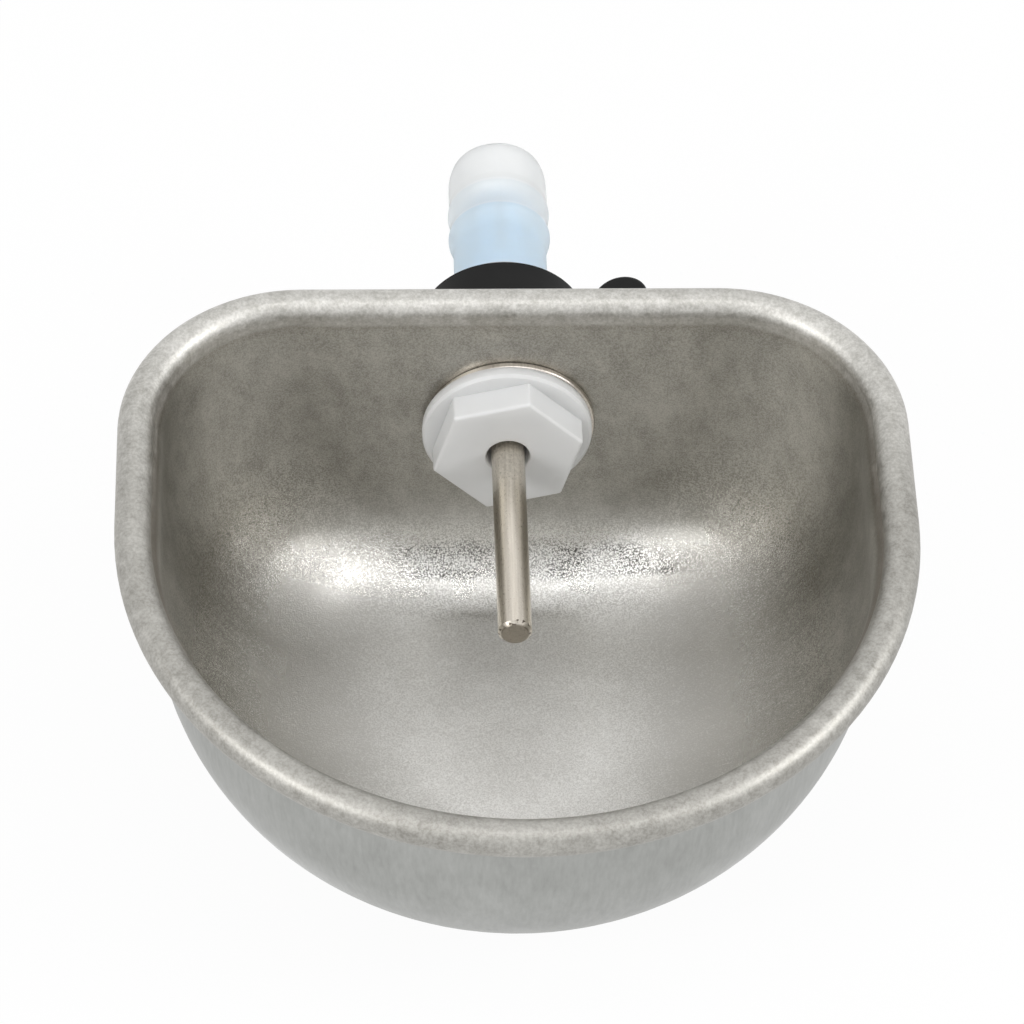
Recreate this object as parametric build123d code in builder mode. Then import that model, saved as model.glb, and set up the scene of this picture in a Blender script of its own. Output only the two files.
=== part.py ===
"""Livestock drinking bowl: a stamped stainless bowl with a push-pin water valve.

The bowl hangs on the threaded stem of a plastic valve that runs through its flat back wall.
A black wing nut on the stem clamps the wall, or the wall and a cage panel, against the
valve's flange. A barbed tail behind the nut takes the water hose. Pushing or tilting the
steel pin inside the bowl lifts its head off a rubber seal and lets water run in.

Frame: millimetres. Y is the valve axis, pointing back towards the hose. Z is up and the back
wall is vertical, as when the bowl hangs on a panel. The origin is on the valve axis at the
rear face of the rear gasket, which is the face that rests on the panel.
"""
import os
from math import cos, pi, radians, sin, sqrt, tan

from build123d import *

# ---------------------------------------------------------------- driving dimensions
# bowl, in its own rim frame: rim plane level, Z down into the bowl is depth
RIM_WIDTH = 110.0  # over the rolled rim
ROLL_R = 2.5  # outer radius of the rolled rim, which stands outside the wall
ROLL_TURN = 220  # degrees that the sheet is rolled round, past flat and back in underneath
SHEET = 0.9  # stainless sheet
SIDE_RUN = 17.6  # straight length of each side at the rim
BACK_CORNER = 20.5  # inner corner radius between side and back wall at the rim
BOWL_DEPTH = 51.2  # outer depth below the rim plane
DRAFT = 3.0  # degrees, sides and back wall lean outwards towards the rim
BELLY_R = 38.5  # outer radius from side wall to floor
HEEL_R = 12.0  # outer radius from back wall to floor
CORNER_SHARE = 0.62  # corner radius near the floor, as a share of the half width there
SECTIONS = 12  # horizontal sections that the stamped wall is lofted through

# where the valve goes through the back wall
VALVE_DEPTH = 20.8  # valve axis below the rim plane, along the wall
STEM_R = 9.0  # M18 stem
STEM_PITCH = 1.5
STEM_ROOT_R = 8.15
STEM_END_BEVEL = 0.3
THREAD_FLANK = 0.35  # along the axis
THREAD_ROOT = 0.4  # flat at the bottom of the thread
STEM_HOLE_R = 9.3  # hole in the bowl wall
STEM_FIT = 0.1  # gasket round the stem
PLATE_R = 12.25  # flange and front washer
GASKET_T = 2.0
GASKET_R = 12.6
FRONT_WASHER_T = 1.0
FRONT_WASHER_BORE_R = 9.6
FRONT_WASHER_SHIFT = 0.45  # the loose fit lets the front washer sit off centre
FRONT_WASHER_EDGE = 0.25
FLANGE_T = 1.8
FLANGE_EDGE = 0.4
HEX_ACROSS_FLATS = 19.3
HEX_T = 4.3
HEX_TURN = 15.1  # degrees that the hexagon's corners are turned from level
HEX_CORNER_R = 0.5
HEX_EDGE = 0.45
PIN_HOLE_R = 3.15
PIN_HOLE_EDGE = 0.2

# stations along the valve axis, from the panel face at zero
BEDDING = 0.02  # hair gap where a washer beds on the stamped wall
WALL_OUT = -GASKET_T - BEDDING
WALL_IN = WALL_OUT - SHEET
WASHER_BACK = WALL_IN - BEDDING
WASHER_FRONT = WASHER_BACK - FRONT_WASHER_T
FLANGE_FRONT = WASHER_FRONT - FLANGE_T
HEX_FRONT = FLANGE_FRONT - HEX_T
STEM_END = 21.3
SEAL_FRONT = -6.0  # floor of the valve chamber
CHAMBER_R = 6.2
SHOULDER = 10.5  # step that the strainer's flange sits on
SOCKET_R = 7.05  # socket for the hose tail in the stem

# pin, seal, spring plate and spring
PIN_R = 2.4
PIN_OUT = 34.0  # bare length in front of the hex
PIN_TIP_CHAMFER = 0.55
SEAL_T = 1.6
SEAL_R = 5.7
SEAL_BORE_R = 2.9
HEAD_R = 5.0
HEAD_T = 1.2
RIVET_R = 2.2  # ball end that bears on the spring plate
PLATE_GAP = 0.05
SPRING_PLATE_R = 5.6
SPRING_PLATE_T = 1.0
SPRING_PLATE_RIM = 1.6  # height of the turned-up rim
SPRING_PLATE_WALL = 0.6
SPRING_R = 4.3
SPRING_WIRE_R = 0.35
SPRING_TURNS = 5

# strainer and hose tail
STRAINER_FLANGE_T = 1.5
STRAINER_R = 5.15
STRAINER_WALL = 1.0
STRAINER_END = 38.8
STRAINER_TIP = 43.6
SLOT_COUNT = 8  # slots round the barrel
SLOT_ROWS = 2
SLOT_WIDTH = 1.4
SLOT_LAND = 2.4  # solid ring between the rows
SOCKET_FIT = 0.1  # strainer flange and seal in the socket
TAIL_SEAL_T = 1.0
TAIL_SEAL_BORE_R = 5.3
TAIL_R = 6.95
TAIL_BORE = 5.4
TAIL_END = 49.3
TAIL_NOSE = 0.9  # rounding of the open end
TAIL_FIT = 0.05  # spigot in the socket
BARB_STATIONS = (34.8, 39.8)
BARB_RAMP = 3.4
BARB_R = 7.62
BARB_NOTCH_R = 7.28
BARB_NOTCH = 2.5
TAIL_LAND_R = 7.4
TAIL_LAND = (42.0, 45.2)

# rear washer and wing nut
REAR_WASHER_T = 1.2
REAR_WASHER_R = 12.3
REAR_WASHER_FIT = 0.06
NUT_END = 18.3
NUT_R = 12.1
NUT_BORE_R = 9.06
NUT_EDGE = 0.6  # broken edges of the nut
WING_TURN = 14.0  # degrees from level
WING_T = 3.0
WING_LOBE = (18.0, 17.2)  # centre of the rounded end, as distance from the axis and station
WING_R = 4.0
WING_ROOT = (8.5, 7.5)
WING_ROOT_R = 4.5

CUT_OVER = 1.0  # how far cuts run past the faces that they open

os.makedirs("parts", exist_ok=True)

RADIAL = Plane.YZ  # local x is Y along the axis, local y is Z as radius


def across(y):
    """Plane across the valve axis at station y, facing the front, with X right and Z up."""
    return Plane(origin=(0, y, 0), x_dir=(1, 0, 0), z_dir=(0, -1, 0))


def turned(points):
    """Solid of revolution about the valve axis from (station, radius) corners."""
    with BuildPart() as ring:
        with BuildSketch(RADIAL):
            with BuildLine():
                Polyline(*points, close=True)
            make_face()
        revolve(axis=Axis.Y)
    return ring.part


def save(part, label):
    part.label = label
    export_step(part, f"parts/{label}.step")


# ---------------------------------------------------------------- bowl shell
HALF_IN = RIM_WIDTH / 2 - 2 * ROLL_R  # inner half width at the rim
BACK_IN = SIDE_RUN + BACK_CORNER  # inner face of the back wall at the rim


def rim_plane(depth=0.0):
    """Plane at a depth in the bowl, square to the bowl's own axis.

    The bowl leans forward by its draft, which stands the flat back wall upright, and is set
    so that the valve hole lies on the valve axis.
    """
    lean = radians(DRAFT)
    mouth_y = WALL_IN - BACK_IN * cos(lean)
    mouth_z = VALVE_DEPTH - BACK_IN * sin(lean)
    origin = (0, mouth_y + depth * sin(lean), mouth_z - depth * cos(lean))
    return Plane(origin=origin, x_dir=(1, 0, 0), z_dir=(0, -sin(lean), cos(lean)))


def wall_section(depth, inset):
    """Half width, back station and corner radius of the wall at a depth; inset 0 is outside."""
    slope = tan(radians(DRAFT))
    belly = BELLY_R - inset
    heel = HEEL_R - inset
    floor = BOWL_DEPTH - inset
    half = HALF_IN + SHEET - inset - slope * min(depth, floor - belly)
    over = max(0.0, depth - (floor - belly))
    half -= belly - sqrt(max(0.0, belly**2 - over**2))
    back = BACK_IN + SHEET - inset - slope * depth
    over = max(0.0, depth - (floor - heel))
    back -= heel - sqrt(max(0.0, heel**2 - over**2))
    corner = min(BACK_CORNER + SHEET - inset, CORNER_SHARE * half)
    return half, back, corner


def section_depths(inset):
    """Depths of the lofted sections: a few down the wall, then closer round the belly."""
    belly = BELLY_R - inset
    top = BOWL_DEPTH - inset - belly
    depths = [0.0]
    for i in range(SECTIONS):
        depths.append(top + belly * sin(pi / 2 * i / (SECTIONS - 1)))
    return depths


def stamped_form(inset):
    """Solid enclosed by the bowl wall's outer face (inset 0) or inner face (inset SHEET)."""
    with BuildPart() as form:
        for depth in section_depths(inset):
            half, back, corner = wall_section(depth, inset)
            with BuildSketch(rim_plane(depth)):
                with BuildLine():
                    CenterArc((0, 0), half, 180, 180)
                    Line((half, 0), (half, back - corner))
                    CenterArc((half - corner, back - corner), corner, 0, 90)
                    Line((half - corner, back), (corner - half, back))
                    CenterArc((corner - half, back - corner), corner, 90, 90)
                    Line((-half, back - corner), (-half, 0))
                make_face()
        loft()
    return form.part


def rolled_rim():
    """Sheet rolled outwards over the rim and under again, swept round the D-shaped mouth."""
    level = rim_plane()
    half, back, corner = HALF_IN, BACK_IN, BACK_CORNER
    start = level.from_local_coords((0, back, 0))
    with BuildPart() as roll:
        with BuildLine(level) as mouth:
            Line((0, back), (half - corner, back))
            CenterArc((half - corner, back - corner), corner, 90, -90)
            Line((half, back - corner), (half, 0))
            CenterArc((0, 0), half, 0, -180)
            Line((-half, 0), (-half, back - corner))
            CenterArc((corner - half, back - corner), corner, 180, -90)
            Line((corner - half, back), (0, back))
        with BuildSketch(Plane(origin=start, x_dir=level.y_dir, z_dir=level.x_dir)):
            with BuildLine():
                outside = CenterArc((ROLL_R, 0), ROLL_R, 180, -ROLL_TURN)
                inside = CenterArc((ROLL_R, 0), ROLL_R - SHEET, 180, -ROLL_TURN)
                Line(outside @ 0, inside @ 0)
                Line(outside @ 1, inside @ 1)
            make_face()
        sweep(path=mouth.wires()[0])
    return roll.part


def make_bowl_shell():
    with BuildPart() as bowl_shell:
        add(stamped_form(0.0))
        add(stamped_form(SHEET), mode=Mode.SUBTRACT)
        add(rolled_rim())
        with BuildSketch(across(0)):
            Circle(STEM_HOLE_R)
        extrude(amount=2 * HEEL_R, mode=Mode.SUBTRACT)
    return bowl_shell.part


save(make_bowl_shell(), "bowl_shell")


# ---------------------------------------------------------------- washers and gasket
def ring(y0, y1, outer_r, bore_r, shift=0.0):
    """Flat ring between two stations on the valve axis."""
    with BuildPart() as flat_ring:
        with BuildSketch(across(y1)):
            with Locations((shift, 0)):
                Circle(outer_r)
                Circle(bore_r, mode=Mode.SUBTRACT)
        extrude(amount=y1 - y0)
    return flat_ring.part


def make_front_washer():
    """Turned steel washer between the bowl wall and the valve's flange."""
    with BuildPart() as front_washer:
        add(ring(WASHER_FRONT, WASHER_BACK, PLATE_R, FRONT_WASHER_BORE_R, FRONT_WASHER_SHIFT))
        rims = front_washer.edges().filter_by(GeomType.CIRCLE).sort_by(SortBy.RADIUS)[-2:]
        fillet(rims, FRONT_WASHER_EDGE)
    return front_washer.part


save(make_front_washer(), "front_washer")
save(ring(-GASKET_T, 0, GASKET_R, STEM_R + STEM_FIT), "rear_gasket")


# ---------------------------------------------------------------- valve body
def stem_outline():
    """Half section of the threaded stem: rings of thread at the pitch, with a plain end."""
    bevel = FLANGE_FRONT + FLANGE_EDGE
    points = [(FLANGE_FRONT, 0), (FLANGE_FRONT, PLATE_R - FLANGE_EDGE), (bevel, PLATE_R)]
    points += [(WASHER_FRONT, PLATE_R), (WASHER_FRONT, STEM_R)]
    y = WALL_OUT
    while y + STEM_PITCH < STEM_END:
        root = y + THREAD_FLANK
        root_end = root + THREAD_ROOT
        points += [(y, STEM_R), (root, STEM_ROOT_R)]
        points += [(root_end, STEM_ROOT_R), (root_end + THREAD_FLANK, STEM_R)]
        y += STEM_PITCH
    points += [(STEM_END - STEM_END_BEVEL, STEM_R), (STEM_END, STEM_R - STEM_END_BEVEL)]
    return points + [(STEM_END, 0)]


def bore_outline():
    """Half section of the pin hole, the valve chamber and the socket open to the rear."""
    front = HEX_FRONT - CUT_OVER
    flare = PIN_HOLE_R + PIN_HOLE_EDGE + CUT_OVER
    rear = STEM_END + CUT_OVER
    return [(front, 0), (front, flare), (HEX_FRONT + PIN_HOLE_EDGE, PIN_HOLE_R),
            (SEAL_FRONT, PIN_HOLE_R), (SEAL_FRONT, CHAMBER_R), (SHOULDER, CHAMBER_R),
            (SHOULDER, SOCKET_R), (rear, SOCKET_R), (rear, 0)]


def make_valve_body():
    with BuildPart() as valve_body:
        add(turned(stem_outline()))
        with BuildSketch(across(FLANGE_FRONT)) as hexagon:
            RegularPolygon(HEX_ACROSS_FLATS / 2, 6, major_radius=False, rotation=HEX_TURN)
            fillet(hexagon.vertices(), HEX_CORNER_R)
        extrude(amount=HEX_T)
        nose = valve_body.faces().sort_by(Axis.Y)[0]
        fillet(nose.edges(), HEX_EDGE)
        add(turned(bore_outline()), mode=Mode.SUBTRACT)
    return valve_body.part


save(make_valve_body(), "valve_body")


# ---------------------------------------------------------------- pin, seal and spring
SEAL_BACK = SEAL_FRONT + SEAL_T  # the pin's head rests here
HEAD_BACK = SEAL_BACK + HEAD_T
RIVET_BACK = SEAL_BACK + RIVET_R
SPRING_PLATE_FRONT = RIVET_BACK + PLATE_GAP
SPRING_PLATE_BACK = SPRING_PLATE_FRONT + SPRING_PLATE_T


def make_trigger_pin():
    """Turned steel pin: chamfered tip, shaft, flat head and a ball end behind it."""
    tip = HEX_FRONT - PIN_OUT
    ball_root = sqrt(RIVET_R**2 - HEAD_T**2)
    with BuildPart() as trigger_pin:
        with BuildSketch(RADIAL):
            with BuildLine():
                Polyline((RIVET_BACK, 0), (tip, 0), (tip, PIN_R - PIN_TIP_CHAMFER),
                         (tip + PIN_TIP_CHAMFER, PIN_R), (SEAL_BACK, PIN_R),
                         (SEAL_BACK, HEAD_R), (HEAD_BACK, HEAD_R), (HEAD_BACK, ball_root))
                RadiusArc((HEAD_BACK, ball_root), (RIVET_BACK, 0), RIVET_R)
            make_face()
        revolve(axis=Axis.Y)
    return trigger_pin.part


def make_spring_plate():
    """Pressed steel cup that the spring pushes against the pin's ball end."""
    rim_back = SPRING_PLATE_BACK + SPRING_PLATE_RIM
    rim_in = SPRING_PLATE_R - SPRING_PLATE_WALL
    return turned([(SPRING_PLATE_FRONT, 0), (SPRING_PLATE_FRONT, SPRING_PLATE_R),
                   (rim_back, SPRING_PLATE_R), (rim_back, rim_in),
                   (SPRING_PLATE_BACK, rim_in), (SPRING_PLATE_BACK, 0)])


def make_valve_spring():
    """Open-coiled stainless spring between the spring plate and the strainer's flange."""
    y0 = SPRING_PLATE_BACK + SPRING_WIRE_R
    length = SHOULDER - SPRING_WIRE_R - y0
    coil = Helix(length / SPRING_TURNS, length, SPRING_R, center=(0, y0, 0), direction=(0, 1, 0))
    with BuildPart() as valve_spring:
        with BuildSketch(Plane(origin=coil @ 0, z_dir=coil % 0)):
            Circle(SPRING_WIRE_R)
        sweep(path=coil, is_frenet=True)
    return valve_spring.part


save(make_trigger_pin(), "trigger_pin")
save(ring(SEAL_FRONT, SEAL_BACK, SEAL_R, SEAL_BORE_R), "pin_seal")
save(make_spring_plate(), "spring_plate")
save(make_valve_spring(), "valve_spring")


# ---------------------------------------------------------------- strainer and hose tail
BARREL_FRONT = SHOULDER + STRAINER_FLANGE_T
TAIL_FRONT = BARREL_FRONT + TAIL_SEAL_T
SOCKET_PIECE_R = SOCKET_R - SOCKET_FIT  # strainer flange and tail seal


def make_strainer():
    """Moulded strainer: flange, slotted barrel and a rounded closed nose facing the hose."""
    inner = STRAINER_R - STRAINER_WALL
    nose = STRAINER_TIP - STRAINER_END
    with BuildPart() as strainer:
        with BuildSketch(RADIAL):
            with BuildLine():
                Polyline((SHOULDER, inner), (SHOULDER, SOCKET_PIECE_R),
                         (BARREL_FRONT, SOCKET_PIECE_R), (BARREL_FRONT, STRAINER_R),
                         (STRAINER_END, STRAINER_R))
                EllipticalCenterArc((STRAINER_END, 0), nose, STRAINER_R, 0, arc_size=90)
                Polyline((STRAINER_TIP, 0), (STRAINER_END, 0), (STRAINER_END, inner),
                         (SHOULDER, inner))
            make_face()
        revolve(axis=Axis.Y)
        row = (STRAINER_END - BARREL_FRONT) / SLOT_ROWS
        with BuildSketch(Plane.XY.offset(-STRAINER_R - CUT_OVER)):
            for k in range(SLOT_ROWS):
                with Locations((0, BARREL_FRONT + row * (k + 0.5))):
                    SlotOverall(row - SLOT_LAND, SLOT_WIDTH, rotation=90)
        slots = extrude(amount=2 * (STRAINER_R + CUT_OVER), mode=Mode.PRIVATE)
        for k in range(SLOT_COUNT // 2):
            add(slots.rotate(Axis.Y, 360 * k / SLOT_COUNT), mode=Mode.SUBTRACT)
    return strainer.part


def make_hose_tail():
    """Moulded barbed tail: plain spigot in the stem, two rounded barbs, a plain land."""
    spigot = SOCKET_R - TAIL_FIT
    with BuildPart() as hose_tail:
        with BuildSketch(RADIAL):
            with BuildLine():
                Polyline((TAIL_FRONT, TAIL_BORE), (TAIL_FRONT, spigot), (STEM_END, spigot),
                         (STEM_END, TAIL_R))
                neck = Line((STEM_END, TAIL_R), (BARB_STATIONS[0] - BARB_RAMP, TAIL_R))
                crest1 = (BARB_STATIONS[0], BARB_R)
                notch = (BARB_STATIONS[0] + BARB_NOTCH, BARB_NOTCH_R)
                crest2 = (BARB_STATIONS[1], BARB_R)
                Spline(neck @ 1, crest1, notch, tangents=((1, 0), (1, 0)))
                Spline(notch, crest2, (TAIL_LAND[0], TAIL_LAND_R), tangents=((1, 0), (1, 0)))
                Line((TAIL_LAND[0], TAIL_LAND_R), (TAIL_LAND[1], TAIL_LAND_R))
                Spline((TAIL_LAND[1], TAIL_LAND_R), (TAIL_END - TAIL_NOSE, TAIL_R),
                       (TAIL_END, TAIL_R - TAIL_NOSE), tangents=((1, 0), (0, -1)))
                Polyline((TAIL_END, TAIL_R - TAIL_NOSE), (TAIL_END, TAIL_BORE),
                         (TAIL_FRONT, TAIL_BORE))
            make_face()
        revolve(axis=Axis.Y)
    return hose_tail.part


save(make_strainer(), "inlet_strainer")
save(ring(BARREL_FRONT, TAIL_FRONT, SOCKET_PIECE_R, TAIL_SEAL_BORE_R), "tail_seal")
save(make_hose_tail(), "hose_tail")


# ---------------------------------------------------------------- rear washer and wing nut
def make_wing_nut():
    """Moulded butterfly nut: smooth round collar with two wings that flare out to the rear."""
    turn = radians(WING_TURN)
    wing_plane = Plane(origin=(0, 0, 0), x_dir=(cos(turn), 0, sin(turn)),
                       z_dir=(-sin(turn), 0, cos(turn)))
    with BuildPart() as wing_nut:
        with BuildSketch(wing_plane):
            with Locations(WING_ROOT):
                Circle(WING_ROOT_R)
            with Locations(WING_LOBE):
                Circle(WING_R)
            make_hull()
            mirror(about=Plane.YZ)
        extrude(amount=WING_T / 2, both=True)
        sides = wing_nut.faces().filter_by(wing_plane)
        fillet(sides.edges(), NUT_EDGE)
        add(turned([(REAR_WASHER_T, 0), (REAR_WASHER_T, NUT_R), (NUT_END - NUT_EDGE, NUT_R),
                    (NUT_END, NUT_R - NUT_EDGE), (NUT_END, 0)]))
        with BuildSketch(across(NUT_END + CUT_OVER)):
            Circle(NUT_BORE_R)
        extrude(amount=NUT_END + CUT_OVER, mode=Mode.SUBTRACT)
    return wing_nut.part


save(ring(0, REAR_WASHER_T, REAR_WASHER_R, STEM_R + REAR_WASHER_FIT), "rear_washer")
save(make_wing_nut(), "wing_nut")
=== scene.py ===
from math import cos, pi, radians, sin

import bpy
from mathutils import Matrix, Vector


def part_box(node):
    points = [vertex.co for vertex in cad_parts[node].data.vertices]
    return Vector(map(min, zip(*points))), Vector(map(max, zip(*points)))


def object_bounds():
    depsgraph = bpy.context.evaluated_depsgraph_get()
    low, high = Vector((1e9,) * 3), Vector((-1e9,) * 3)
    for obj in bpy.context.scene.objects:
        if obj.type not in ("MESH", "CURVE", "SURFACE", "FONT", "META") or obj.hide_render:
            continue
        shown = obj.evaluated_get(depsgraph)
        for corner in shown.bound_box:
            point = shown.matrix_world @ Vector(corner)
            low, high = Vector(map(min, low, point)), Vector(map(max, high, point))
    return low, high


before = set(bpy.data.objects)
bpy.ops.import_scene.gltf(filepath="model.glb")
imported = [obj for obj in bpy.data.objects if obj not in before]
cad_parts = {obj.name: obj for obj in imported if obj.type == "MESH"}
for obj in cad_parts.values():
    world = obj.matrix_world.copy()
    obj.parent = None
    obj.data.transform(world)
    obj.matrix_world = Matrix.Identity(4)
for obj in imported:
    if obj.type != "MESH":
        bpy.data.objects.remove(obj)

cad_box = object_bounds()

# ------------------------------------------------------------------ bowl shell
# Pressed from 0.9 mm stainless sheet in one hit, rim rolled outwards and turned down. The
# press leaves the flat back wall and the floor satin, and the heel and corners grainy.

MM = 1000  # millimetres in a metre; lengths in a finish are in millimetres
RIM_LEAN = radians(3)  # the mouth leans forward by this when the back wall hangs upright
RIM_UP = (0, -sin(RIM_LEAN), cos(RIM_LEAN))
RIM_HEIGHT = 20.8 * cos(RIM_LEAN)  # rim plane above the valve axis, along RIM_UP
RIM_EDGE = (-1.6, -0.6)  # heights from the rim plane over which the rubbed bead begins
BOWL_CENTRE = (0, -41.0, 19.0)  # middle of the mouth
BOWL_RADIUS = 45  # of the wall round the mouth's middle, which sizes the grain round it
DRAW_STRETCH = 0.22  # a draw line's width over its length
WALL_TO_FLOOR = (-12, -27)  # heights over which the sheet goes from the darker wall tone to the lighter floor tone, painted shade and light
BACK_TO_FRONT = (-5, -45)  # places along the valve axis over which the rim goes from lighter at the back to darker at the front, painted light and shade
HEEL_Y, HEEL_Z = -14.0, -19.0  # axis of the bend from the back wall to the floor

# soft ends of stretches round the heel's axis, in degrees: 0 at the wall, 90 at the floor
BEND_TOP, BEND_FOOT = (4, 22), (100, 72)
PITS_TOP, PITS_FOOT = (22, 36), (62, 54)
PITS_MIDDLE, PITS_REACH = 6, (25, 17)  # across the bowl: where the pits centre and fade out
CORNER_IN, CORNER_DOWN = (18, 34), (-2, -16)  # where the lower corners begin, across and down
UNDER_RIM_BELOW, UNDER_RIM_ABOVE = (-3.0, -1.2), (1.2, -0.2)  # darker band just inside the rim, where the wall meets the bead

# tones of the sheet, dark and light, some of them painted light and shade, and of the two marks on it
# walls darker and floor lighter: painted shade and light
WALL_TONES = (0.29, 0.28, 0.25), (0.50, 0.485, 0.445)
FLOOR_TONES = (0.62, 0.61, 0.585), (0.93, 0.925, 0.905)
# outside darker: partly a duller finish, partly painted shade
OUTSIDE_TONES = (0.32, 0.325, 0.31), (0.44, 0.445, 0.43)
# rim lighter at the back and darker at the front: painted light and shade
RIM_BACK_TONES = (0.40, 0.39, 0.36), (0.70, 0.69, 0.66)
RIM_FRONT_TONES = (0.29, 0.28, 0.255), (0.51, 0.50, 0.47)
UNDER_RIM_TONE = (0.20, 0.17, 0.135)
PIT_TONE = (0.05, 0.047, 0.042)


class Wire:
    """The output of a shader node. Arithmetic on it adds Math nodes."""

    def __init__(self, tree, socket):
        self.tree = tree
        self.socket = socket

    def node(self, kind, settings, inputs, output=0):
        """Adds any other node: its settings first, then the values or links of its sockets."""
        made = self.tree.nodes.new("ShaderNode" + kind)
        for name, value in settings.items():
            setattr(made, name, value)
        for name, value in inputs.items():
            if isinstance(value, Wire):
                self.tree.links.new(value.socket, made.inputs[name])
            else:
                made.inputs[name].default_value = value
        return Wire(self.tree, made.outputs[output])

    def math(self, operation, *others):
        return self.node("Math", {"operation": operation}, dict(enumerate((self, *others))))

    def __add__(self, other):
        return self.math("ADD", other)

    def __sub__(self, other):
        return self.math("SUBTRACT", other)

    def __rsub__(self, other):
        return self.math("MULTIPLY_ADD", -1.0, other)

    def __mul__(self, other):
        return self.math("MULTIPLY", other)

    def __pow__(self, other):
        return self.math("POWER", other)

    def __abs__(self):
        return self.math("ABSOLUTE")

    __radd__ = __add__
    __rmul__ = __mul__

    def between(self, low, high):
        """0 below low, 1 above high, smooth between; low may be above high."""
        return self.node("MapRange", {"interpolation_type": "SMOOTHSTEP"},
                         {"Value": self, "From Min": low, "From Max": high})

    def tint(self, dark, light):
        """Colour mixed from dark at 0 to light at 1; either may itself be a colour wire."""
        ends = [c if isinstance(c, Wire) else (*c, 1) for c in (dark, light)]
        return self.node("Mix", {"data_type": "RGBA"}, {0: self, 6: ends[0], 7: ends[1]}, 2)

    def grain(self, per_mm, detail=2.0, rough=0.5):
        """Noise over these coordinates, 0 to 1, with this many cells to the millimetre."""
        return self.node("TexNoise", {}, {"Vector": self, "Scale": per_mm, "Detail": detail,
                                          "Roughness": rough})

    def stretched(self, scale, turn=(0, 0, 0)):
        """These coordinates turned by degrees, then scaled along each axis."""
        turned = self.node("Mapping", {"vector_type": "POINT"},
                           {"Vector": self, "Rotation": tuple(radians(a) for a in turn)})
        return turned.vector("MULTIPLY", scale)

    def vector(self, operation, other=None, output=0):
        """Vector arithmetic; other may be a wire, a tuple or, for scaling, a number."""
        inputs = {0: self}
        if other is not None:
            inputs["Scale" if operation == "SCALE" else 1] = other
        return self.node("VectorMath", {"operation": operation}, inputs, output)

    def along(self, direction):
        """How far these coordinates reach along a direction."""
        return self.vector("DOT_PRODUCT", direction, "Value")


class Finish:
    """A material being made: gives coordinates in millimetres and takes the surface."""

    def __init__(self, name):
        self.material = bpy.data.materials.new(name)
        self.material.use_nodes = True
        self.tree = self.material.node_tree
        self.tree.nodes.clear()
        metres = Wire(self.tree, self.tree.nodes.new("ShaderNodeTexCoord").outputs["Object"])
        self.mm = metres.vector("SCALE", MM)
        x_y_z = self.tree.nodes.new("ShaderNodeSeparateXYZ")
        self.tree.links.new(self.mm.socket, x_y_z.inputs[0])
        self.x, self.y, self.z = (Wire(self.tree, x_y_z.outputs[k]) for k in range(3))
        self.facing = Wire(self.tree, metres.socket.node.outputs["Normal"])

    def surface(self, relief, depth_mm, **sockets):
        """Principled surface; relief is a height wire, depth_mm what 1 on it stands for."""
        inputs = {name.replace("_", " "): value for name, value in sockets.items()}
        inputs["Normal"] = relief.node("Bump", {}, {"Height": relief, "Strength": 1.0,
                                                    "Distance": depth_mm / MM})
        shader = self.mm.node("BsdfPrincipled", {}, inputs)
        end = self.tree.nodes.new("ShaderNodeOutputMaterial")
        self.tree.links.new(shader.socket, end.inputs["Surface"])
        return self.material


def dress(node, material):
    """Gives a CAD node its finish."""
    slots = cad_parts[node].data.materials
    slots.clear()
    slots.append(material)


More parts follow.
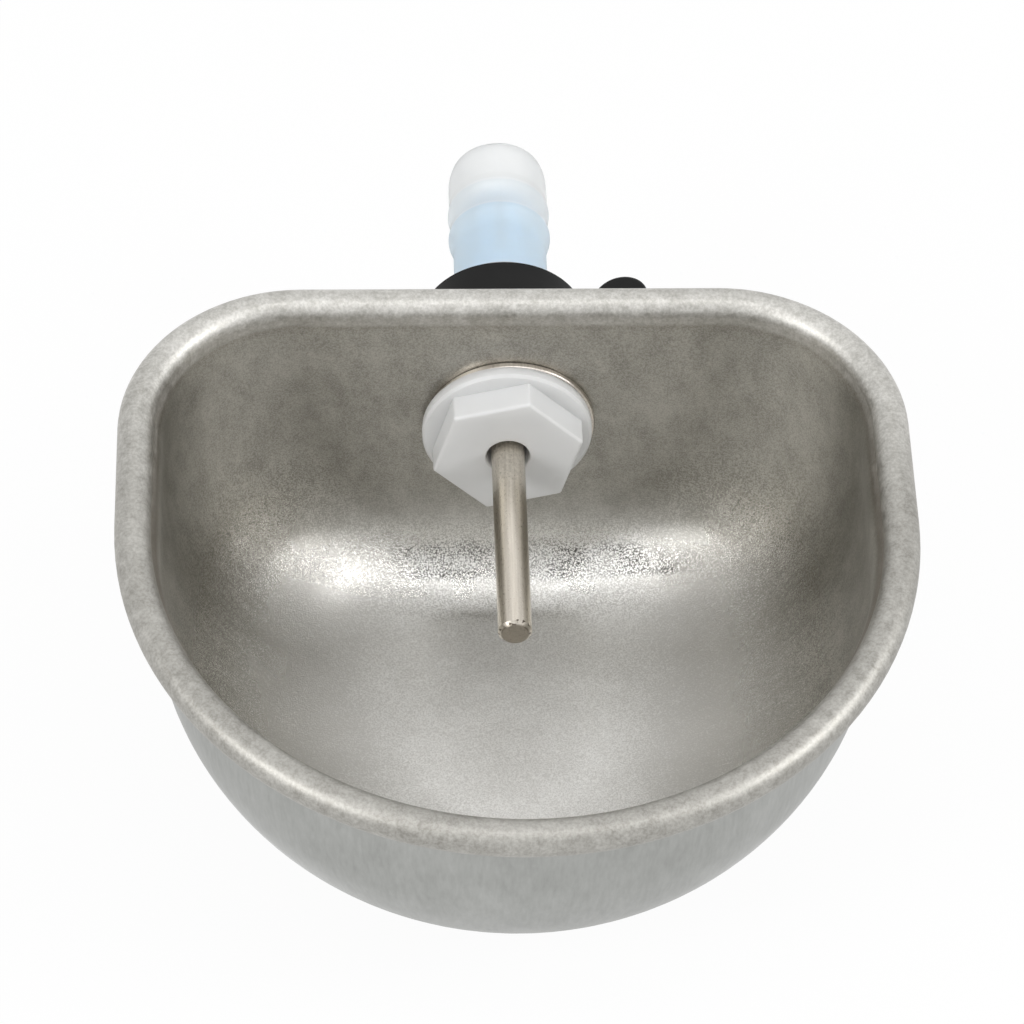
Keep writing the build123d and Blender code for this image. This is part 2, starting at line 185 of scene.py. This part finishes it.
def stamped_steel():
    """Satin where the sheet stays flat, grainy where it stretches, rubbed along the rim, with painted
    shade on walls, floor sides, outside and rim front and painted light on the floor.
    """
    made = Finish("stamped_steel")
    mm = made.mm
    from_middle = abs(made.x)
    from_centre = mm.vector("SUBTRACT", BOWL_CENTRE)
    above_rim = mm.along(RIM_UP) - RIM_HEIGHT
    on_rim = above_rim.between(*RIM_EDGE)
    outside = from_centre.vector("DOT_PRODUCT", made.facing, "Value").between(-2, 2)
    inside = (1 - outside) * (1 - on_rim)
    low = made.z.between(*WALL_TO_FLOOR)
    front = made.y.between(*BACK_TO_FRONT)

    # lines that the drawing punch leaves down the wall, and polishing across the rim
    round_bowl = from_centre.vector("MULTIPLY", (1, 1, 0)).vector("NORMALIZE")
    round_bowl = round_bowl.vector("SCALE", BOWL_RADIUS)
    down_wall = round_bowl.vector("ADD", mm.vector("MULTIPLY", (0, 0, DRAW_STRETCH)))
    draw_line = down_wall.grain(1.6, 3.0, 0.6)
    across_rim = round_bowl.grain(3.2, 3.0, 0.65)

    # grain of the sheet at several sizes
    cloud = mm.grain(0.07, 3.0)
    smudge = mm.stretched((0.30, 0.30, 0.19), (0, 14, 0)).grain(1.0, 3.0, 0.6)
    patch = mm.grain(0.22, 2.0).between(0.40, 0.62)
    blotch = mm.grain(0.55, 3.0, 0.65)
    fine = mm.grain(2.2, 3.0, 0.8).between(0.34, 0.66)
    speck = mm.grain(4.4, 2.0, 0.75).between(0.38, 0.62)

    # stretched metal turns grainy in the bend to the floor and in the lower corners
    bend_y, bend_z = made.y - HEEL_Y, made.z - HEEL_Z
    bend_angle = (0 - bend_z).math("ARCTAN2", bend_y) * (180 / pi)
    in_bend = bend_angle.between(*BEND_TOP) * bend_angle.between(*BEND_FOOT) * (1 - outside)
    corner = from_middle.between(*CORNER_IN) * made.z.between(*CORNER_DOWN)
    stretch = in_bend.math("MAXIMUM", corner) * (1 - on_rim)

    # pits, closer together towards the right
    dense = made.x.between(0, 20)
    pit = (speck * (1.1 - 0.35 * dense) + fine * 0.4).between(0.74, 0.42)
    pit = pit * bend_angle.between(*PITS_TOP) * bend_angle.between(*PITS_FOOT)
    pit = pit * (0.5 + 0.5 * patch) * abs(made.x - PITS_MIDDLE).between(*PITS_REACH) * inside

    tone = 0.5 + (cloud - 0.5) * 0.6 + (speck - 0.5) * (0.42 + 0.50 * stretch)
    tone = tone + (fine - 0.5) * (0.30 + 0.35 * stretch) + (draw_line - 0.5) * (0.2 + 1.0 * stretch)
    # the floor darkens towards its sides: painted shade
    tone = tone + (smudge - 0.5) * (1.3 - 0.9 * low) - 0.85 * low * from_middle.between(13, 31)
    # walls darker and floor lighter: painted shade and light
    inside_lit_and_shaded = tone.tint(low.tint(WALL_TONES[0], FLOOR_TONES[0]), low.tint(WALL_TONES[1], FLOOR_TONES[1]))
    weather = 0.5 + (cloud - 0.5) * 1.2 + (draw_line - 0.5) * 1.1 + (smudge - 0.5) * 0.7
    # outside darker: partly a duller finish, partly painted shade
    outside_shaded = weather.tint(*OUTSIDE_TONES)
    rubbed = 0.5 + (across_rim - 0.5) * 0.25 + (cloud - 0.5) * 0.7 + (blotch - 0.5) * 1.3
    rubbed = rubbed + (fine - 0.5) * 0.35
    # rim lighter at the back and darker at the front: painted light and shade
    rim_rubbed_and_shaded = rubbed.tint(front.tint(RIM_BACK_TONES[0], RIM_FRONT_TONES[0]),
                           front.tint(RIM_BACK_TONES[1], RIM_FRONT_TONES[1]))
    colour = on_rim.tint(outside.tint(inside_lit_and_shaded, outside_shaded), rim_rubbed_and_shaded)
    # darker band just under the rim inside, stronger towards the front
    under_rim_band = above_rim.between(*UNDER_RIM_BELOW) * above_rim.between(*UNDER_RIM_ABOVE) * (1 - outside)
    colour = (under_rim_band * (0.15 + 0.45 * front)).tint(colour, UNDER_RIM_TONE)
    colour = (pit * 0.9).tint(colour, PIT_TONE)

    rough = 0.42 + 0.06 * low - 0.20 * stretch + (cloud - 0.5) * 0.10
    rough = rough + on_rim * (0.07 + (blotch - 0.5) * 0.3)
    relief = (speck * 0.6 + fine * 0.7) * (0.25 + 0.75 * stretch + 0.1 * patch) * (inside + 0.1)
    relief = relief + draw_line * 0.5 * stretch + (across_rim * 0.2 + fine * 0.4) * on_rim
    return made.surface(relief, 0.015, Base_Color=colour, Metallic=1.0, Roughness=rough)


dress("bowl_shell", stamped_steel())

# ------------------------------------------------------------------ front washer
# Turned stainless washer between the wall and the valve's flange, a loose fit on the stem.
# The flange presses it on the wall when the wing nut is tightened.


def turned_steel(name, dark, light, per_mm):
    """Turned or pressed stainless with rings of tool marks round the valve axis."""
    made = Finish(name)
    radius = (made.x * made.x + made.z * made.z) ** 0.5
    rings = radius.node("TexNoise", {"noise_dimensions": "1D"},
                        {"W": radius * per_mm, "Scale": 1.0, "Detail": 2.0})
    nicks = made.mm.stretched((1.0, 0.2, 3.0), (0, 38, 0)).grain(1.4, 3.0, 0.65)
    cloud = made.mm.grain(0.25, 2.0)
    tone = 0.5 + (rings - 0.5) * 0.9 + (nicks - 0.5) * 1.2 + (cloud - 0.5) * 0.8
    return made.surface(nicks + rings, 0.006, Base_Color=tone.tint(dark, light), Metallic=1.0,
                        Roughness=0.33 + (nicks - 0.5) * 0.25)


dress("front_washer", turned_steel("washer_steel", (0.52, 0.47, 0.42), (0.93, 0.88, 0.82), 5))

# ------------------------------------------------------------------ valve body
# One white nylon moulding: hexagon, flange and threaded stem, with the valve chamber inside.
# The stem goes through the wall's hole from inside the bowl and takes the wing nut behind it.


def moulded_plastic(name, dark, light, roughness, **sockets):
    """Injection-moulded plastic: faint clouding, a fine satin texture and soft sink marks."""
    made = Finish(name)
    cloud = made.mm.grain(0.16, 2.0)
    satin = made.mm.grain(7.0, 2.0)
    tone = 0.5 + (cloud - 0.5) * 1.2 + (satin - 0.5) * 0.25
    relief = satin * 0.4 + made.mm.grain(0.5, 1.0) * 2.0
    return made.surface(relief, 0.006, Base_Color=tone.tint(dark, light),
                        Roughness=roughness + (satin - 0.5) * 0.12, **sockets)


white_nylon = moulded_plastic("white_nylon", (0.72, 0.725, 0.725), (0.79, 0.795, 0.795), 0.42,
                              Subsurface_Weight=0.75, Subsurface_Radius=(1.0, 1.0, 1.0),
                              Subsurface_Scale=0.003, IOR=1.5)
dress("valve_body", white_nylon)

# ------------------------------------------------------------------ pin seal
# Flat moulded rubber ring at the front of the valve chamber, with the pin through it.
# The pin's head closes on it and keeps the water back.


def rubber(name):
    """Black moulded rubber with a grey bloom and fine pores."""
    made = Finish(name)
    bloom = made.mm.grain(0.5, 3.0)
    pores = made.mm.grain(5.0, 2.0)
    return made.surface(pores, 0.02, Base_Color=bloom.tint((0.012, 0.012, 0.012),
                                                           (0.045, 0.044, 0.042)),
                        Roughness=0.62 + (pores - 0.5) * 0.2)


black_rubber = rubber("black_rubber")
dress("pin_seal", black_rubber)

# ------------------------------------------------------------------ trigger pin
# Drawn stainless bar with a bevelled tip, and inside the valve a flat head and a ball end.
# The head rests on the seal; a push, or a nudge sideways, lets water past.

pin_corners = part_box("trigger_pin")
PIN_TIP = pin_corners[0].y * MM  # where the bar ends, along the valve axis
BEVEL = 0.5  # length of the bevelled edge round the tip, mm
HEX_NEARBY = (-24, -13)  # tool marks on the bar deepen over this stretch towards the hexagon, mm


def pin_steel():
    """Warm grey bar with draw marks along it, chips on the bevel and a darker ground end."""
    made = Finish("pin_steel")
    drawn = made.mm.stretched((4.0, 0.10, 4.0)).grain(1.0, 3.0, 0.6)
    near_hex = made.y.between(*HEX_NEARBY)
    nicks = made.mm.stretched((1.2, 1.2, 5.0), (0, 0, 35)).grain(1.6, 3.0, 0.7)
    bevel = made.y.between(PIN_TIP + BEVEL + 0.7, PIN_TIP + BEVEL)
    bevel = bevel * made.y.between(PIN_TIP, PIN_TIP + 0.1)
    chips = made.mm.grain(1.7, 2.0).between(0.56, 0.64) * bevel
    tone = 0.5 + (drawn - 0.5) * 0.9 + (nicks - 0.5) * (0.3 + 1.2 * near_hex)
    ground_end = made.y.between(PIN_TIP + 0.25, PIN_TIP + 0.05)
    bar = tone.tint((0.42, 0.38, 0.32), (0.80, 0.75, 0.67))
    worn = ground_end.tint(bar, tone.tint((0.20, 0.175, 0.14), (0.33, 0.30, 0.25)))
    colour = chips.tint(worn, (0.12, 0.10, 0.08))
    return made.surface(nicks * near_hex + drawn * 0.5 + chips, 0.012, Base_Color=colour,
                        Metallic=1.0, Roughness=0.30 + (nicks - 0.5) * 0.2)


dress("trigger_pin", pin_steel())

# ------------------------------------------------------------------ spring plate
# Pressed steel plate with a turned-up rim, behind the pin's ball end.
# The spring pushes on it and so holds the pin's head on the seal.

dress("spring_plate", turned_steel("plate_steel", (0.42, 0.41, 0.39), (0.70, 0.69, 0.66), 4))

# ------------------------------------------------------------------ valve spring
# Coil of stainless wire that closes the valve again.
# It stands between the spring plate and the strainer's flange.


def spring_steel():
    """Bright drawn wire."""
    made = Finish("spring_steel")
    drawn = made.mm.grain(3.0, 2.0)
    return made.surface(drawn, 0.004, Base_Color=drawn.tint((0.40, 0.40, 0.39), (0.7, 0.7, 0.68)),
                        Metallic=1.0, Roughness=0.22 + (drawn - 0.5) * 0.1)


dress("valve_spring", spring_steel())

# ------------------------------------------------------------------ rear gasket
# Soft rubber gasket round the stem that seals the wall's hole from outside.
# Its rear face rests on the cage panel.

dress("rear_gasket", black_rubber)

# ------------------------------------------------------------------ inlet strainer
# Blue moulded strainer with a slotted barrel and a rounded closed nose facing the hose.
# Its flange sits on the shoulder behind the valve chamber.

blue_plastic = moulded_plastic("blue_plastic", (0.36, 0.60, 0.84), (0.42, 0.66, 0.90), 0.42)
dress("inlet_strainer", blue_plastic)

# ------------------------------------------------------------------ tail seal
# Flat rubber ring behind the strainer's flange.
# The hose tail presses on it from behind.

dress("tail_seal", black_rubber)

# ------------------------------------------------------------------ hose tail
# Natural nylon moulding, frosted and partly see-through; the strainer's blue showing through is
# partly painted into its colour.
# Its spigot sits in the socket at the stem's end, and a hose goes over its barbs.

BARB_CRESTS = (34.8, 39.8)  # along the valve axis; the painted show-through blue fades past each of them
BARB_HIGHLIGHT = 0.7  # the painted highlight along a barb lies this far past its crest


def frosted_nylon():
    """Frosted moulding, with the strainer's blue seen through it partly painted in, and a painted
    highlight along each barb.
    """
    made = Finish("clear_nylon")
    cloud = made.mm.grain(0.2, 2.0)
    satin = made.mm.grain(6.0, 2.0)
    tone = 0.5 + (cloud - 0.5) + (satin - 0.5) * 0.2
    clear = tone.tint((0.86, 0.87, 0.87), (0.92, 0.93, 0.93))
    first, second = (made.y.between(crest + 1.3, crest + 0.4) for crest in BARB_CRESTS)
    # the strainer's blue showing through: painted in, over the real see-through
    colour = (0.42 * first + 0.22 * second).tint(clear, (0.70, 0.87, 0.99))
    # a painted highlight along each barb
    lines = [abs(made.y - (crest + BARB_HIGHLIGHT)).between(0.4, 0.1) for crest in BARB_CRESTS]
    colour = ((lines[0] + lines[1]) * 0.6).tint(colour, (0.97, 0.975, 0.98))
    return made.surface(satin, 0.004, Base_Color=colour,
                        Roughness=0.5 + (satin - 0.5) * 0.1, Transmission_Weight=0.5, IOR=1.35)


dress("hose_tail", frosted_nylon())

# ------------------------------------------------------------------ rear washer
# Stainless washer on the stem, between the cage panel and the wing nut.
# The nut turns on it and so doesn't rub on the panel.

dress("rear_washer", turned_steel("clamp_steel", (0.46, 0.45, 0.43), (0.76, 0.75, 0.72), 4))

# ------------------------------------------------------------------ wing nut
# Black moulded butterfly nut with two wings, on the stem's thread.
# Turned by hand, it clamps the bowl to the cage panel.

black_plastic = moulded_plastic("black_plastic", (0.005, 0.005, 0.005), (0.012, 0.012, 0.012), 0.5,
                                Specular_IOR_Level=0.16)
dress("wing_nut", black_plastic)

# ------------------------------------------------------------------ floor
# A flat white sheet, a hair below the object's lowest point.
# What is seen of it is mixed with plain white, and the rest keeps the object's shadow.

FLOOR_SIDE = 6.0
FLOOR_GAP = 0.0004
FLOOR_GLOW = 0.94  # share of plain white mixed into what is seen of the sheet
floor_z = cad_box[0][2] - FLOOR_GAP
floor_mesh = bpy.data.meshes.new("floor")
half = FLOOR_SIDE / 2
floor_mesh.from_pydata([(-half, -half, floor_z), (half, -half, floor_z), (half, half, floor_z),
                        (-half, half, floor_z)], [], [(0, 1, 2, 3)])
floor = bpy.data.objects.new("floor", floor_mesh)
bpy.context.scene.collection.objects.link(floor)
sheet = Finish("floor_white")
paper = sheet.mm.grain(0.02, 2.0).tint((0.94, 0.94, 0.94), (0.96, 0.96, 0.96))
rays = sheet.tree.nodes.new("ShaderNodeLightPath").outputs
seen = [Wire(sheet.tree, rays[name]) for name in
        ("Is Camera Ray", "Is Glossy Ray", "Is Transmission Ray")]
seen = seen[0].math("MAXIMUM", seen[1]).math("MAXIMUM", seen[2])
lit = paper.node("BsdfDiffuse", {}, {"Color": paper})
glow = paper.node("Emission", {}, {"Color": (1, 1, 1, 1), "Strength": 1.0})
mixed = seen.node("MixShader", {}, {0: seen * FLOOR_GLOW, 1: lit, 2: glow})
sheet_out = sheet.tree.nodes.new("ShaderNodeOutputMaterial")
sheet.tree.links.new(mixed.socket, sheet_out.inputs["Surface"])
floor.data.materials.append(sheet.material)

# ------------------------------------------------------------------ studio light
# A white room, a long narrow lamp above the bowl, a lamp on each side and a weak one behind.
# The narrow lamp draws the bright line along the heel, the side lamps the bright corners.

ROOM_REFLECTED, ROOM_LIGHT = 0.95, 0.60  # strength of the room in reflections and as light
world = bpy.data.worlds.new("studio")
bpy.context.scene.world = world
world.use_nodes = True
air = world.node_tree
air.nodes.clear()
air_rays = air.nodes.new("ShaderNodeLightPath").outputs
shown = Wire(air, air_rays["Is Camera Ray"])
shown = shown.math("MAXIMUM", Wire(air, air_rays["Is Transmission Ray"]))
reflected = Wire(air, air_rays["Is Glossy Ray"])
as_light = 1 - reflected.math("MAXIMUM", shown)
strength = reflected * ROOM_REFLECTED + shown + as_light * ROOM_LIGHT
room = strength.node("Background", {}, {"Color": (1, 1, 1, 1), "Strength": strength})
air_out = air.nodes.new("ShaderNodeOutputWorld")
air.links.new(room.socket, air_out.inputs["Surface"])


def soft_lamp(name, place, aim, size, watts):
    """Rectangular lamp, width and height in metres, turned towards the point it aims at."""
    data = bpy.data.lights.new(name, "AREA")
    data.shape = "RECTANGLE"
    data.size, data.size_y = size
    data.energy = watts
    lamp = bpy.data.objects.new(name, data)
    lamp.location = place
    lamp.rotation_euler = (Vector(aim) - Vector(place)).to_track_quat("-Z", "Y").to_euler()
    bpy.context.scene.collection.objects.link(lamp)


soft_lamp("key_lamp", (0.0, -0.28, 0.96), (0, -0.04, 0), (0.75, 0.10), 1.22)
soft_lamp("left_lamp", (-0.72, -0.52, 0.53), (0.02, -0.01, -0.02), (0.42, 0.34), 3.3)
soft_lamp("right_lamp", (0.82, -0.26, 0.55), (-0.03, -0.01, -0.02), (0.42, 0.34), 3.6)
soft_lamp("back_lamp", (0.0, 0.57, 0.82), (0, -0.04, -0.03), (0.55, 0.40), 0.30)

# ------------------------------------------------------------------ camera
# Above and in front of the bowl, with a long lens, and rolled by two degrees.

AZIMUTH, ELEVATION, ROLL = radians(-3.2), radians(47.11), radians(2.03)
DISTANCE = 0.700
FOCAL_MM, SENSOR_MM = 169.5, 36.0
AIM_RIGHT, AIM_UP = 0.00087, -0.01526  # point looked at, from the origin, in the picture

back = Vector((sin(AZIMUTH) * cos(ELEVATION), -cos(AZIMUTH) * cos(ELEVATION), sin(ELEVATION)))
level = Vector((cos(AZIMUTH), sin(AZIMUTH), 0))
upright = back.cross(level)
right = level * cos(ROLL) + upright * sin(ROLL)
up = upright * cos(ROLL) - level * sin(ROLL)
lens = bpy.data.cameras.new("camera")
lens.lens, lens.sensor_width = FOCAL_MM, SENSOR_MM
lens.clip_start = 0.01
camera = bpy.data.objects.new("camera", lens)
turn = Matrix((right, up, back)).transposed().to_4x4()
camera.matrix_world = Matrix.Translation(right * AIM_RIGHT + up * AIM_UP + back * DISTANCE) @ turn
bpy.context.scene.collection.objects.link(camera)
bpy.context.scene.camera = camera
bpy.context.scene.view_settings.view_transform = "Standard"
